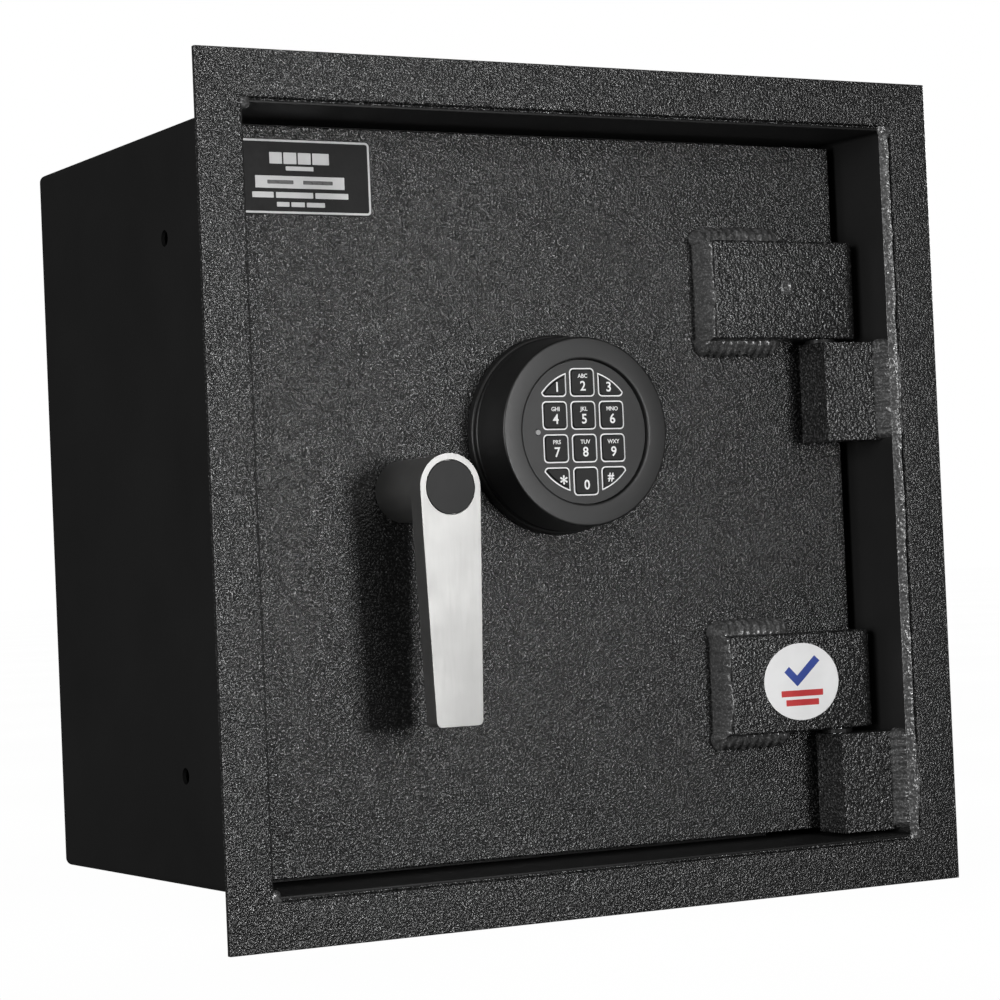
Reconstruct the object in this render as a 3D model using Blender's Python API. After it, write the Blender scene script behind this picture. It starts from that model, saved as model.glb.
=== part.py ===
"""In-wall safe with a recessed, block-hinged door, a round keypad lock and a lever handle.

Frame: +X to the right and +Z up as seen from the room, +Y into the wall. The origin is the
centre of the wall opening, in the plane of the wall surface that the flange seats on.
"""

import math

import bmesh
import bpy
from mathutils import Matrix, Vector

MM = 0.001
GAP = 0.3 * MM  # between pieces that touch or are welded in the real safe

# Flange and body sheet
FLANGE = 406.4 * MM
FLANGE_T = 3.175 * MM
OPENING = 365.12 * MM
BODY = 361.95 * MM
SHEET = 1.9 * MM
BODY_FRONT_Y = 0.6 * MM
BODY_BACK_Y = 254.0 * MM
BEND_R = 4.0 * MM
SEAM_DEPTH = 1.975 * MM  # front of the seam weld behind the front of the flange
SEAM_BACK_Y = 3.0 * MM
SEAM_BACK_HALF = 184.4 * MM
ANCHOR_R = 3.97 * MM
ANCHOR_Y = 90.9 * MM
ANCHOR_Z = 128.2 * MM

# Door
DOOR_Y = 41.275 * MM
DOOR_T = 12.7 * MM
DOOR_LEFT_X = -175.9 * MM
DOOR_W = 349.25 * MM
DOOR_H = 352.0 * MM

# Hinges: the door block sits above the frame block on one upright pin
PIVOT_X = 154.0 * MM
PIVOT_Y = 28.8 * MM
PIN_R = 4.0 * MM
HINGE_Z = 99.6 * MM
DOOR_BLOCK_X = (87.2 * MM, 167.0 * MM)
DOOR_BLOCK_END_X = 175.0 * MM  # past the bevel that ends the front face
DOOR_BLOCK_BEVEL_T = 5.0 * MM
DOOR_BLOCK_T = 18.75 * MM
DOOR_BLOCK_H = 49.8 * MM
FRAME_BLOCK_LEFT_X = 145.0 * MM
FRAME_BLOCK_Y = (12.7 * MM, 34.9 * MM)
FRAME_BLOCK_H = 50.0 * MM
THRUST_GAP = 2.5 * MM
THRUST_R = 7.5 * MM
PIN_FLOOR = 4.0 * MM

# Strike and stop bars, welded inside the body behind the door
BAR_T = 6.35 * MM
BAR_W = 18.5 * MM
BAR_END_X = 125.0 * MM

# Handle
HANDLE_X = -84.4 * MM
HANDLE_Z = 2.7 * MM
LEVER_FRONT_Y = -6.775 * MM
LEVER_T = 10.0 * MM
LEVER_HEAD_R = 15.9 * MM
LEVER_LENGTH = 111.0 * MM
LEVER_TIP_HALF = 12.2 * MM
LEVER_TIP_R = 2.5 * MM
HUB_R = 15.0 * MM
CAP_R = 12.6 * MM
CAP_T = 1.6 * MM
CAP_PROUD = 0.2 * MM
SPINDLE_R = 6.0 * MM
SPINDLE_FRONT_Y = 20.0 * MM
HANDLE_TURN = math.radians(60)

# Boltwork
THROW = 19.05 * MM
CRANK_Y = (74.0 * MM, 79.8 * MM)
CRANK_HUB_R = 11.0 * MM
CRANK_BOSS_R = 7.0 * MM
CRANK_PIN_R = 4.0 * MM
CRANK_PIN_END_Y = 86.5 * MM
SLOT_PLAY = 0.5 * MM
SLOT_END_PLAY = 0.8 * MM
CARRIER_X = (-118.0 * MM, -60.0 * MM)
CARRIER_Y = (81.4 * MM, 86.2 * MM)
CARRIER_HALF = 117.0 * MM
BOLT_R = 9.525 * MM
BOLT_Y = 71.5 * MM
BOLT_X = (-155.0 * MM, -96.0 * MM)
BOLT_PITCH = 105.0 * MM
BOLT_CHAMFER = 1.5 * MM
GUIDE_X = (-145.0 * MM, -140.2 * MM)
GUIDE_FOOT_X = -122.0 * MM
GUIDE_FOOT_T = 4.0 * MM
GUIDE_BACK_Y = 91.5 * MM
GUIDE_HALF = 128.0 * MM

# Lock
HARD_PLATE_T = 6.0 * MM
HARD_PLATE_X = (-66.0 * MM, 34.0 * MM)
HARD_PLATE_Z = (-12.0 * MM, 66.0 * MM)
LOCK_X = (-59.0 * MM, 23.0 * MM)
LOCK_Z = (-3.0 * MM, 59.0 * MM)
LOCK_Y = (60.6 * MM, 87.6 * MM)
LOCK_BOLT_X = (-45.0 * MM, -35.0 * MM)
LOCK_BOLT_Y = (77.5 * MM, 85.5 * MM)
LOCK_BOLT_Z = (-3.4 * MM, 14.0 * MM)
LOCK_POCKET_TOP_Z = 17.0 * MM
ARM_Z = (-30.0 * MM, -16.0 * MM)
CATCH_X = (-34.5 * MM, -26.5 * MM)
CATCH_TOP_Z = -8.0 * MM
CABLE_R = 5.0 * MM

# Cover over the boltwork
COVER_X = (-139.9 * MM, 60.0 * MM)
COVER_HALF = 135.0 * MM
COVER_BACK_Y = 94.5 * MM
COVER_T = 1.5 * MM
SCREW_R = 2.5 * MM
SCREW_HEAD_R = 5.0 * MM
SCREW_HEAD_T = 3.0 * MM
SCREW_X = (-131.0 * MM, 50.0 * MM)
SCREW_Z = 124.0 * MM

# Keypad
PAD_X = 1.0 * MM
PAD_Z = 28.5 * MM
PAD_BASE_R = 49.05 * MM
PAD_BASE_T = 4.5 * MM
PAD_BASE_BORE_R = 36.0 * MM
PAD_FRONT_Y = 10.925 * MM
PAD_RIM_R = 46.0 * MM
PAD_SKIRT_R = 47.8 * MM
PAD_EDGE = 1.6 * MM
PAD_WALL = 2.6 * MM
PAD_FACE_R = 35.3 * MM
PAD_FACE_Y = 13.3 * MM
PAD_FACE_T = 2.0 * MM
PAD_LEDGE_R = 33.0 * MM
PAD_LEDGE_T = 1.9 * MM
BOARD_Y = (18.2 * MM, 19.8 * MM)
BOARD_R = 32.0 * MM
BATTERY = (26.5 * MM, 17.5 * MM, 48.5 * MM)
BATTERY_Y = 21.0 * MM
LED_X = -25.7 * MM
LED_R = 1.3 * MM
KEY_PITCH = 15.95 * MM
KEY_HALF = 5.9 * MM
KEY_CORNER = 1.5 * MM
KEY_REACH = 28.5 * MM  # corner keys are trimmed to this radius about the keypad's centre
KEY_Y = (12.4 * MM, 16.3 * MM)
KEY_ROWS = (("1", "2", "3"), ("4", "5", "6"), ("7", "8", "9"), ("star", "0", "hash"))

# Label and sticker
LABEL_X = (-166.5 * MM, -95.0 * MM)
LABEL_Z = (134.1 * MM, 169.9 * MM)
LABEL_CORNER = 2.0 * MM
LABEL_T = 0.5 * MM
STICKER_X = 128.2 * MM
STICKER_Z = -99.3 * MM
STICKER_HALF = (22.8 * MM, 19.5 * MM)
STICKER_T = 0.4 * MM

ROUND = 32  # sides of a large round
SMALL_ROUND = 16  # sides of a small round


# ---------------------------------------------------------------- scene and objects


def clear_scene():
    for obj in list(bpy.data.objects):
        bpy.data.objects.remove(obj, do_unlink=True)


def make_material(name, colour, roughness, metallic):
    material = bpy.data.materials.new(name)
    material.use_nodes = True
    shader = material.node_tree.nodes["Principled BSDF"]
    shader.inputs["Base Color"].default_value = (*colour, 1.0)
    shader.inputs["Roughness"].default_value = roughness
    shader.inputs["Metallic"].default_value = metallic
    material.diffuse_color = (*colour, 1.0)
    return material


FINISHES = {
    "powder_coat": ((0.035, 0.035, 0.037), 0.45, 0.0),
    "body_paint": ((0.02, 0.019, 0.019), 0.4, 0.0),
    "bright_steel": ((0.5, 0.5, 0.52), 0.3, 1.0),
    "satin_nickel": ((0.62, 0.62, 0.61), 0.3, 1.0),
    "black_plastic": ((0.02, 0.02, 0.021), 0.5, 0.0),
    "key_rubber": ((0.025, 0.025, 0.027), 0.6, 0.0),
    "zinc": ((0.45, 0.45, 0.43), 0.4, 1.0),
    "bronze": ((0.42, 0.29, 0.14), 0.4, 1.0),
    "label_print": ((0.02, 0.02, 0.02), 0.4, 0.0),
    "sticker_print": ((0.9, 0.9, 0.9), 0.4, 0.0),
    "circuit_board": ((0.02, 0.12, 0.05), 0.5, 0.0),
    "battery_case": ((0.05, 0.05, 0.06), 0.4, 0.0),
    "lamp_lens": ((0.5, 0.5, 0.5), 0.2, 0.0),
}


def joint_empty(name, at, parent=None):
    """An empty on a joint's axis, which carries the pieces of that body."""
    empty = bpy.data.objects.new(name, None)
    empty.empty_display_size = 20 * MM
    bpy.context.collection.objects.link(empty)
    empty.location = Vector(at) - (parent.matrix_world.translation if parent else Vector())
    empty.parent = parent
    bpy.context.view_layer.update()
    return empty


def add_piece(name, shape, finish, parent=None, rounded=False):
    """Make the object of a bmesh given in world coordinates, with its origin on its parent's."""
    origin = parent.matrix_world.translation if parent else Vector()
    bmesh.ops.recalc_face_normals(shape, faces=shape.faces)
    bmesh.ops.translate(shape, verts=shape.verts, vec=-origin)
    mesh = bpy.data.meshes.new(name)
    shape.to_mesh(mesh)
    shape.free()
    if rounded:
        mesh.shade_smooth()
        mesh.set_sharp_from_angle(angle=math.radians(35))
    mesh.materials.append(make_material(name, *FINISHES[finish]))
    piece = bpy.data.objects.new(name, mesh)
    bpy.context.collection.objects.link(piece)
    piece.parent = parent
    return piece


def add_tool(name, shape, parent=None):
    """A hidden shape that a Boolean uses."""
    tool = add_piece(name, shape, "zinc", parent)
    tool.hide_render = True
    tool.display_type = "WIRE"
    return tool


def combine(piece, tool, operation):
    modifier = piece.modifiers.new(tool.name, "BOOLEAN")
    modifier.operation = operation
    modifier.solver = "EXACT"
    modifier.object = tool


# ---------------------------------------------------------------- shapes


def box(x, y, z):
    """A block between the two values given on each axis."""
    shape = bmesh.new()
    bmesh.ops.create_cube(shape, size=1.0)
    size = Vector((x[1] - x[0], y[1] - y[0], z[1] - z[0]))
    middle = Vector((x[0] + x[1], y[0] + y[1], z[0] + z[1])) / 2
    bmesh.ops.scale(shape, verts=shape.verts, vec=size)
    bmesh.ops.translate(shape, verts=shape.verts, vec=middle)
    return shape


def extrude_outline(corners, along):
    """A prism: an outline of 3-D points, extruded along a vector."""
    shape = bmesh.new()
    face = shape.faces.new([shape.verts.new(corner) for corner in corners])
    swept = bmesh.ops.extrude_face_region(shape, geom=[face])["geom"]
    moved = [item for item in swept if isinstance(item, bmesh.types.BMVert)]
    bmesh.ops.translate(shape, verts=moved, vec=along)
    return shape


def plate(outline, y):
    """An outline of (x, z) points between two depths."""
    return extrude_outline([(x, y[0], z) for x, z in outline], (0, y[1] - y[0], 0))


def upright(outline, z):
    """An outline of (x, y) points between two heights."""
    return extrude_outline([(x, y, z[0]) for x, y in outline], (0, 0, z[1] - z[0]))


def cylinder(centre, radius, length, axis, sides=ROUND):
    """A round bar from its centre point along a vector of the given length."""
    shape = bmesh.new()
    bmesh.ops.create_cone(
        shape, cap_ends=True, segments=sides, radius1=radius, radius2=radius, depth=length
    )
    turn = Vector((0, 0, 1)).rotation_difference(Vector(axis)).to_matrix()
    bmesh.ops.rotate(shape, verts=shape.verts, matrix=turn)
    start = Vector(centre) + Vector(axis).normalized() * length / 2
    bmesh.ops.translate(shape, verts=shape.verts, vec=start)
    return shape


def turned_ring(profile, centre, sides=ROUND):
    """A ring about an axis along Y: a closed profile of (radius, y) points, spun round it."""
    shape = bmesh.new()
    middle = Vector((centre[0], 0, centre[1]))
    points = [shape.verts.new(middle + Vector((radius, y, 0))) for radius, y in profile]
    edges = [
        shape.edges.new((points[i], points[(i + 1) % len(points)])) for i in range(len(points))
    ]
    bmesh.ops.spin(
        shape,
        geom=points + edges,
        cent=middle,
        axis=(0, 1, 0),
        angle=2 * math.pi,
        steps=sides,
        use_merge=True,
    )
    bmesh.ops.remove_doubles(shape, verts=shape.verts, dist=0.001 * MM)
    return shape


def arc(centre, radius, start, end, steps):
    """Points on an arc, in degrees, both ends included."""
    angles = [math.radians(start + (end - start) * i / steps) for i in range(steps + 1)]
    return [(centre[0] + radius * math.cos(a), centre[1] + radius * math.sin(a)) for a in angles]


def rounded_rectangle(x, z, radius, steps=4):
    corners = (
        (x[1] - radius, z[1] - radius, 0),
        (x[0] + radius, z[1] - radius, 90),
        (x[0] + radius, z[0] + radius, 180),
        (x[1] - radius, z[0] + radius, 270),
    )
    outline = []
    for cx, cz, start in corners:
        outline += arc((cx, cz), radius, start, start + 90, steps)
    return outline


def sides_of(centre, half):
    return (centre - half, centre + half)


# ---------------------------------------------------------------- flange and body


def flange_bars():
    """Four mitred bars. The seam weld to the body runs along each one's inner edge."""
    inner = BODY / 2 + GAP
    seam_front = -FLANGE_T + SEAM_DEPTH
    profile = (
        (FLANGE / 2, -FLANGE_T),
        (OPENING / 2, -FLANGE_T),
        (OPENING / 2, seam_front),
        (inner, seam_front),
        (inner, SEAM_BACK_Y),
        (SEAM_BACK_HALF, 0.0),
        (FLANGE / 2, 0.0),
    )
    mitre = GAP / math.sqrt(2)
    for name, quarter in (("right", 0), ("top", 1), ("left", 2), ("bottom", 3)):
        shape = bmesh.new()
        near = [shape.verts.new((reach, y, mitre - reach)) for reach, y in profile]
        far = [shape.verts.new((reach, y, reach - mitre)) for reach, y in profile]
        shape.faces.new(near)
        shape.faces.new(far)
        for i in range(len(profile)):
            j = (i + 1) % len(profile)
            shape.faces.new((near[i], near[j], far[j], far[i]))
        turn = Matrix.Rotation(-quarter * math.pi / 2, 3, "Y")
        bmesh.ops.rotate(shape, verts=shape.verts, matrix=turn)
        add_piece(f"flange_{name}", shape, "powder_coat")


def body_sheets():
    """Two side sheets with bent corners, flat top and bottom sheets and the back plate."""
    outer = BODY / 2
    inner = outer - SHEET
    centre = outer - BEND_R
    depth = (BODY_FRONT_Y, BODY_BACK_Y)
    for name, side in (("left", -1), ("right", 1)):
        outline = arc((centre, centre), BEND_R, 90, 0, 6)
        outline += arc((centre, -centre), BEND_R, 0, -90, 6)
        outline += arc((centre, -centre), BEND_R - SHEET, -90, 0, 6)
        outline += arc((centre, centre), BEND_R - SHEET, 0, 90, 6)
        sheet = add_piece(
            f"side_{name}", plate([(side * x, z) for x, z in outline], depth), "body_paint"
        )
        for level, sign in (("upper", 1), ("lower", -1)):
            start = (side * (inner - SHEET), ANCHOR_Y, sign * ANCHOR_Z)
            drill = cylinder(start, ANCHOR_R, 3 * SHEET, (side, 0, 0), SMALL_ROUND)
            combine(sheet, add_tool(f"anchor_drill_{name}_{level}", drill), "DIFFERENCE")
    flat = sides_of(0, centre - GAP)
    add_piece("top_sheet", box(flat, depth, (inner, outer)), "body_paint")
    add_piece("bottom_sheet", box(flat, depth, (-outer, -inner)), "body_paint")
    edge = sides_of(0, inner - GAP)
    back = plate(rounded_rectangle(edge, edge, BEND_R - SHEET), (BODY_BACK_Y - SHEET, BODY_BACK_Y))
    add_piece("back_plate", back, "body_paint")


def strike_and_stops():
    """A full-height strike at the left, and the stops that the door closes on."""
    wall = BODY / 2 - SHEET - GAP
    bend_clear = BODY / 2 - BEND_R + 0.4 * MM
    front = DOOR_Y + DOOR_T + 0.425 * MM
    depth = (front, front + BAR_T)
    strike = box((-wall, BAR_W - wall), depth, sides_of(0, bend_clear))
    add_piece("strike_bar", strike, "body_paint")
    across = (BAR_W - wall + GAP, BAR_END_X)
    add_piece("stop_bar_top", box(across, depth, (wall - BAR_W, wall)), "body_paint")
    add_piece("stop_bar_bottom", box(across, depth, (-wall, BAR_W - wall)), "body_paint")


# ---------------------------------------------------------------- hinges


def frame_hinge(level, centre_z):
    """A block on the jamb, its fixed pin, and the thrust washer that the door block turns on."""
    top = centre_z - DOOR_BLOCK_H / 2 - THRUST_GAP
    bottom = top - FRAME_BLOCK_H
    wall = BODY / 2 - SHEET - GAP
    shape = box((FRAME_BLOCK_LEFT_X, wall), FRAME_BLOCK_Y, (bottom, top))
    block = add_piece(f"frame_hinge_block_{level}", shape, "powder_coat")
    floor = bottom + PIN_FLOOR
    drill = cylinder(
        (PIVOT_X, PIVOT_Y, floor), PIN_R + GAP, FRAME_BLOCK_H, (0, 0, 1), SMALL_ROUND
    )
    combine(block, add_tool(f"frame_pin_drill_{level}", drill), "DIFFERENCE")
    pin_bottom = floor + GAP
    pin_top = centre_z + DOOR_BLOCK_H / 2 - 0.6 * MM
    pin = cylinder(
        (PIVOT_X, PIVOT_Y, pin_bottom), PIN_R, pin_top - pin_bottom, (0, 0, 1), SMALL_ROUND
    )
    add_piece(f"hinge_pin_{level}", pin, "bright_steel", rounded=True)
    rim = arc((PIVOT_X, PIVOT_Y), THRUST_R, 0, 345, 23)
    washer = upright(rim, (top + GAP, top + THRUST_GAP - GAP))
    washer = add_piece(f"thrust_washer_{level}", washer, "body_paint", rounded=True)
    bore = cylinder((PIVOT_X, PIVOT_Y, top), PIN_R + GAP, THRUST_GAP, (0, 0, 1), SMALL_ROUND)
    combine(washer, add_tool(f"washer_bore_{level}", bore), "DIFFERENCE")


def door_hinge_block(level, centre_z, door):
    """A block with its free end bevelled, so that it turns clear of the jamb."""
    left, right = DOOR_BLOCK_X
    front, back = DOOR_Y - GAP - DOOR_BLOCK_T, DOOR_Y - GAP
    outline = [
        (left, front),
        (right, front),
        (DOOR_BLOCK_END_X, front + DOOR_BLOCK_BEVEL_T),
        (DOOR_BLOCK_END_X, back),
        (left, back),
    ]
    height = sides_of(centre_z, DOOR_BLOCK_H / 2)
    block = add_piece(
        f"door_hinge_block_{level}", upright(outline, height), "powder_coat", door
    )
    start = (PIVOT_X, PIVOT_Y, height[0] - THRUST_GAP / 2)
    drill = cylinder(start, PIN_R + GAP, DOOR_BLOCK_H + THRUST_GAP, (0, 0, 1), SMALL_ROUND)
    combine(block, add_tool(f"door_pin_drill_{level}", drill, door), "DIFFERENCE")


# ---------------------------------------------------------------- door


def door_plate(door):
    width = (DOOR_LEFT_X, DOOR_LEFT_X + DOOR_W)
    depth = (DOOR_Y, DOOR_Y + DOOR_T)
    piece = add_piece("door_plate", box(width, depth, sides_of(0, DOOR_H / 2)), "powder_coat", door)
    holes = (
        ("spindle_drill", HANDLE_X, HANDLE_Z, SPINDLE_R + 1.5 * MM),
        ("cable_drill", PAD_X, PAD_Z, CABLE_R),
    )
    for name, x, z, radius in holes:
        drill = cylinder((x, DOOR_Y - DOOR_T, z), radius, 3 * DOOR_T, (0, 1, 0), SMALL_ROUND)
        combine(piece, add_tool(name, drill, door), "DIFFERENCE")


def spindle_bushing(door):
    bore = SPINDLE_R + GAP
    outside = SPINDLE_R + 1.2 * MM
    front = DOOR_Y + GAP
    back = DOOR_Y + DOOR_T - GAP
    profile = ((bore, front), (outside, front), (outside, back), (bore, back))
    ring = turned_ring(profile, (HANDLE_X, HANDLE_Z), 24)
    add_piece("spindle_bushing", ring, "bronze", door, rounded=True)


def label_and_sticker(door):
    outline = rounded_rectangle(LABEL_X, LABEL_Z, LABEL_CORNER)
    depth = (DOOR_Y - GAP - LABEL_T, DOOR_Y - GAP)
    add_piece("label_plate", plate(outline, depth), "label_print", door)
    turns = [2 * math.pi * i / 40 for i in range(40)]
    oval = [
        (STICKER_X + STICKER_HALF[0] * math.cos(a), STICKER_Z + STICKER_HALF[1] * math.sin(a))
        for a in turns
    ]
    back = DOOR_Y - 2 * GAP - DOOR_BLOCK_T
    add_piece("round_sticker", plate(oval, (back - STICKER_T, back)), "sticker_print", door)


def lock_and_hard_plate(door, lock_slide):
    hard_y = (DOOR_Y + DOOR_T + GAP, DOOR_Y + DOOR_T + GAP + HARD_PLATE_T)
    hard = add_piece("hard_plate", box(HARD_PLATE_X, hard_y, HARD_PLATE_Z), "zinc", door)
    drill = cylinder((PAD_X, hard_y[0] - MM, PAD_Z), CABLE_R, 8 * MM, (0, 1, 0), SMALL_ROUND)
    combine(hard, add_tool("hard_plate_drill", drill, door), "DIFFERENCE")
    case = add_piece("lock_case", box(LOCK_X, LOCK_Y, LOCK_Z), "zinc", door)
    play = 0.5 * MM
    pocket = box(
        (LOCK_BOLT_X[0] - play, LOCK_BOLT_X[1] + play),
        (LOCK_BOLT_Y[0] - play, LOCK_BOLT_Y[1] + play),
        (LOCK_Z[0] - 5 * MM, LOCK_POCKET_TOP_Z),
    )
    combine(case, add_tool("lock_pocket", pocket, door), "DIFFERENCE")
    bolt = box(LOCK_BOLT_X, LOCK_BOLT_Y, LOCK_BOLT_Z)
    add_piece("lock_bolt", bolt, "bronze", lock_slide)


def bolt_guide(door):
    """An angle on the back of the door, which the live bolts slide through."""
    front = DOOR_Y + DOOR_T + GAP
    foot = front + GUIDE_FOOT_T
    outline = (
        (GUIDE_X[0], front),
        (GUIDE_FOOT_X, front),
        (GUIDE_FOOT_X, foot),
        (GUIDE_X[1], foot),
        (GUIDE_X[1], GUIDE_BACK_Y),
        (GUIDE_X[0], GUIDE_BACK_Y),
    )
    guide = add_piece("bolt_guide", upright(outline, sides_of(0, GUIDE_HALF)), "body_paint", door)
    for name, step in (("upper", 1), ("middle", 0), ("lower", -1)):
        start = (GUIDE_X[0] - 5 * MM, BOLT_Y, step * BOLT_PITCH)
        drill = cylinder(start, BOLT_R + 0.45 * MM, 15 * MM, (1, 0, 0), 24)
        combine(guide, add_tool(f"guide_drill_{name}", drill, door), "DIFFERENCE")


def boltwork_cover(door):
    """A bent pan over the boltwork. Its open side meets the bolt guide."""
    front = DOOR_Y + DOOR_T + GAP
    outside = box(COVER_X, (front, COVER_BACK_Y), sides_of(0, COVER_HALF))
    cover = add_piece("boltwork_cover", outside, "body_paint", door)
    inside = box(
        (COVER_X[0] - 5 * MM, COVER_X[1] - COVER_T),
        (front - 5 * MM, COVER_BACK_Y - COVER_T),
        sides_of(0, COVER_HALF - COVER_T),
    )
    combine(cover, add_tool("cover_inside", inside, door), "DIFFERENCE")
    guide_foot = front + GUIDE_FOOT_T + GAP
    for side, x, reach in (("left", SCREW_X[0], guide_foot), ("right", SCREW_X[1], front)):
        for level, z in (("upper", SCREW_Z), ("lower", -SCREW_Z)):
            where = f"{level}_{side}"
            start = (x, COVER_BACK_Y - 3 * COVER_T, z)
            hole = cylinder(start, SCREW_R + GAP, 6 * COVER_T, (0, 1, 0), SMALL_ROUND)
            combine(cover, add_tool(f"cover_drill_{where}", hole, door), "DIFFERENCE")
            cover_screw(f"cover_screw_{where}", x, z, reach, door)


def cover_screw(name, x, z, tip, door):
    head = COVER_BACK_Y + GAP
    profile = (
        (0.0, tip),
        (SCREW_R, tip),
        (SCREW_R, head),
        (SCREW_HEAD_R, head),
        (SCREW_HEAD_R * 0.8, head + SCREW_HEAD_T),
        (0.0, head + SCREW_HEAD_T),
    )
    screw = turned_solid(profile, (x, z), SMALL_ROUND)
    add_piece(name, screw, "zinc", door, rounded=True)


def turned_solid(profile, centre, sides):
    """A solid about an axis along Y: an open profile whose two ends lie on the axis."""
    shape = bmesh.new()
    middle = Vector((centre[0], 0, centre[1]))
    points = [shape.verts.new(middle + Vector((radius, y, 0))) for radius, y in profile]
    edges = [shape.edges.new(pair) for pair in zip(points, points[1:])]
    bmesh.ops.spin(
        shape,
        geom=points + edges,
        cent=middle,
        axis=(0, 1, 0),
        angle=2 * math.pi,
        steps=sides,
        use_merge=True,
    )
    bmesh.ops.remove_doubles(shape, verts=shape.verts, dist=0.001 * MM)
    return shape


# ---------------------------------------------------------------- handle and boltwork


def lever_outline():
    """A round head, straight tapering sides and a blunt tip that points down."""
    tip_z = HANDLE_Z - LEVER_LENGTH
    drop = LEVER_LENGTH
    slope = (LEVER_HEAD_R - LEVER_TIP_HALF) / drop
    lean = math.degrees(math.asin(slope))
    outline = arc((HANDLE_X, HANDLE_Z), LEVER_HEAD_R, -lean, 180 + lean, 20)
    left = HANDLE_X - LEVER_TIP_HALF + LEVER_TIP_R
    right = HANDLE_X + LEVER_TIP_HALF - LEVER_TIP_R
    outline += arc((left, tip_z + LEVER_TIP_R), LEVER_TIP_R, 180 + lean, 270, 3)
    outline += arc((right, tip_z + LEVER_TIP_R), LEVER_TIP_R, 270, 360 - lean, 3)
    return outline


def handle_lever(handle):
    """Lever and hub, cast in one, with a recess for the cap and a bore for the spindle."""
    back = LEVER_FRONT_Y + LEVER_T
    lever = add_piece(
        "handle_lever", plate(lever_outline(), (LEVER_FRONT_Y, back)), "satin_nickel", handle, True
    )
    hub_start = (HANDLE_X, back - LEVER_T / 2, HANDLE_Z)
    hub = cylinder(hub_start, HUB_R, DOOR_Y - GAP - hub_start[1], (0, 1, 0))
    combine(lever, add_tool("handle_hub", hub, handle), "UNION")
    recess_start = (HANDLE_X, LEVER_FRONT_Y - MM, HANDLE_Z)
    recess_depth = CAP_T - CAP_PROUD + GAP
    recess = cylinder(recess_start, CAP_R + GAP, recess_depth + MM, (0, 1, 0))
    combine(lever, add_tool("cap_recess", recess, handle), "DIFFERENCE")
    bore_start = (HANDLE_X, SPINDLE_FRONT_Y, HANDLE_Z)
    bore = cylinder(bore_start, SPINDLE_R + GAP, DOOR_Y, (0, 1, 0), SMALL_ROUND)
    combine(lever, add_tool("spindle_bore", bore, handle), "DIFFERENCE")
    cap_start = (HANDLE_X, LEVER_FRONT_Y - CAP_PROUD, HANDLE_Z)
    cap = cylinder(cap_start, CAP_R, CAP_T, (0, 1, 0))
    add_piece("handle_cap", cap, "black_plastic", handle, rounded=True)


def spindle_and_crank(handle):
    start = (HANDLE_X, SPINDLE_FRONT_Y + GAP, HANDLE_Z)
    length = CRANK_Y[1] - start[1]
    spindle = cylinder(start, SPINDLE_R, length, (0, 1, 0), SMALL_ROUND)
    add_piece("handle_spindle", spindle, "bright_steel", handle, rounded=True)
    lean = HANDLE_TURN / 2
    pin_x = HANDLE_X + THROW * math.sin(lean)
    pin_z = HANDLE_Z + THROW * math.cos(lean)
    spread = math.degrees(math.asin((CRANK_HUB_R - CRANK_BOSS_R) / THROW))
    towards = 90 - math.degrees(lean)
    outline = arc(
        (HANDLE_X, HANDLE_Z), CRANK_HUB_R, towards + 90 - spread, towards + 270 + spread, 14
    )
    outline += arc((pin_x, pin_z), CRANK_BOSS_R, towards - 90 + spread, towards + 90 - spread, 10)
    crank = add_piece("crank_arm", plate(outline, CRANK_Y), "zinc", handle, rounded=True)
    bore_start = (HANDLE_X, CRANK_Y[0] - MM, HANDLE_Z)
    bore = cylinder(bore_start, SPINDLE_R + GAP, 10 * MM, (0, 1, 0), SMALL_ROUND)
    combine(crank, add_tool("crank_bore", bore, handle), "DIFFERENCE")
    pin_start = (pin_x, CRANK_Y[1] - MM, pin_z)
    pin = cylinder(
        pin_start, CRANK_PIN_R, CRANK_PIN_END_Y - pin_start[1], (0, 1, 0), SMALL_ROUND
    )
    combine(crank, add_tool("crank_pin", pin, handle), "UNION")


def bolt_carrier(carrier):
    """The plate that the crank's pin moves, with an arm and catch that the lock's bolt blocks."""
    outline = (
        (CARRIER_X[0], -CARRIER_HALF),
        (CARRIER_X[1], -CARRIER_HALF),
        (CARRIER_X[1], ARM_Z[0]),
        (CATCH_X[1], ARM_Z[0]),
        (CATCH_X[1], CATCH_TOP_Z),
        (CATCH_X[0], CATCH_TOP_Z),
        (CATCH_X[0], ARM_Z[1]),
        (CARRIER_X[1], ARM_Z[1]),
        (CARRIER_X[1], CARRIER_HALF),
        (CARRIER_X[0], CARRIER_HALF),
    )
    piece = add_piece("bolt_carrier", plate(outline, CARRIER_Y), "zinc", carrier)
    lean = HANDLE_TURN / 2
    pin_x = HANDLE_X + THROW * math.sin(lean)
    reach = CRANK_PIN_R + SLOT_END_PLAY
    slot = box(
        sides_of(pin_x, CRANK_PIN_R + SLOT_PLAY),
        (CARRIER_Y[0] - MM, CARRIER_Y[1] + MM),
        (HANDLE_Z + THROW * math.cos(lean) - reach, HANDLE_Z + THROW + reach),
    )
    combine(piece, add_tool("carrier_slot", slot, carrier), "DIFFERENCE")
    for name, step in (("upper", 1), ("middle", 0), ("lower", -1)):
        live_bolt(f"live_bolt_{name}", step * BOLT_PITCH, carrier)


def live_bolt(name, z, carrier):
    bolt = cylinder((BOLT_X[0], BOLT_Y, z), BOLT_R, BOLT_X[1] - BOLT_X[0], (1, 0, 0), 24)
    tip = [edge for edge in bolt.edges if all(v.co.x < BOLT_X[0] + MM for v in edge.verts)]
    bmesh.ops.bevel(bolt, geom=tip, offset=BOLT_CHAMFER, segments=1, affect="EDGES")
    add_piece(name, bolt, "bright_steel", carrier, rounded=True)


# ---------------------------------------------------------------- keypad


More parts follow.
